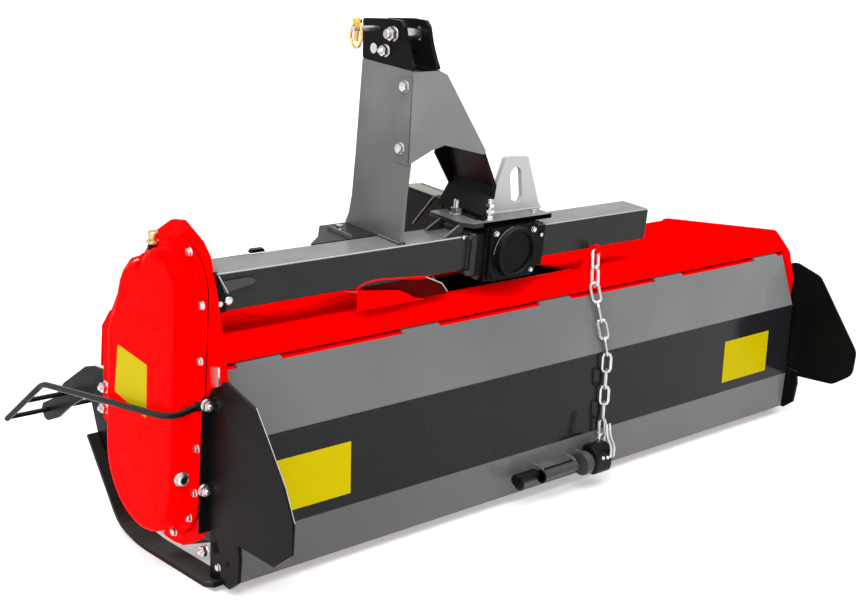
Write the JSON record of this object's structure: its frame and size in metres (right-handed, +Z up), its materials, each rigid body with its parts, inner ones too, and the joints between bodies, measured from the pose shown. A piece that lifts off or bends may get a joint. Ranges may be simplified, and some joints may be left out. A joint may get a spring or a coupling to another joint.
{
  "type": "rotary tiller",
  "caption": "Tractor-mounted rotary tiller with a side drive case, tined rotor under a folded hood, hinged tailgate with chain, offset hitch mast and front guard rails.",
  "frame": {"origin": "bottom centre of the overall box, on the ground between the skids", "axes": "+X to the machine's right along the rotor, +Y forwards to the tractor, +Z up from the ground"},
  "size_m": [1.7554, 0.9155, 0.9533],
  "materials": {
    "red_paint": "glossy saturated red paint",
    "grey_paint": "semi-gloss graphite grey paint",
    "black_paint": "satin black paint",
    "light_grey_paint": "light grey paint",
    "zinc": "zinc plated",
    "bare_steel": "bare forged steel"
  },
  "bodies": {
    "frame": {"beam_left": "grey_paint", "beam_right": "grey_paint", "chain_bracket_upper": "red_paint", "chain_upper": "zinc", "gear_case": "red_paint", "gearbox": "black_paint", "gearbox_cover": "black_paint", "gearbox_top_plate": "grey_paint", "guard_arm_left": "black_paint", "guard_arm_right": "black_paint", "guard_bar_lower": "black_paint", "guard_bar_upper": "black_paint", "guard_rod_left": "black_paint", "guard_rod_right": "black_paint", "hinge_rod": "zinc", "hood": "red_paint", "lifting_lug": "light_grey_paint", "lower_arm_left": "black_paint", "lower_arm_right": "black_paint", "lower_pin_left": "zinc", "lower_pin_right": "zinc", "mast_base": "black_paint", "mast_head_left": "black_paint", "mast_head_right": "black_paint", "mast_plate_left": "grey_paint", "mast_plate_right": "black_paint", "mast_rear_sheet": "grey_paint", "pto_guard": "black_paint", "rotor_bearing_right": "red_paint", "side_plate_left": "red_paint", "side_plate_right": "red_paint", "skid_left": "black_paint", "skid_post_left": "black_paint", "skid_post_right": "black_paint", "skid_right": "black_paint", "top_link_pin": "zinc", "wing_left": "black_paint", "wing_right": "black_paint"},
    "rotor": {"rotor": "bare_steel"},
    "tailgate": {"tailgate": "grey_paint", "tailgate_handle": "black_paint", "chain_bracket_lower": "grey_paint", "chain_lower": "zinc"},
    "pto": {"pto_shaft": "bare_steel"}
  },
  "joints": [
    {"name": "rotor_spin", "type": "hinge", "parent": "frame", "child": "rotor", "pos_m": [0, -0.0863, 0.2], "axis": [1, 0, 0], "continuous": true},
    {"name": "tailgate_lift", "type": "hinge", "parent": "frame", "child": "tailgate", "pos_m": [0, -0.24746, 0.38906], "axis": [-1, 0, 0], "range_deg": [0, 45]},
    {"name": "pto_spin", "type": "hinge", "parent": "frame", "child": "pto", "pos_m": [-0.133, -0.12024, 0.53443], "axis": [0, 0.9914, 0.1305], "continuous": true}
  ],
  "couplings": [
    {"joint": "pto_spin", "follows": "rotor_spin", "ratio": 2.7}
  ]
}
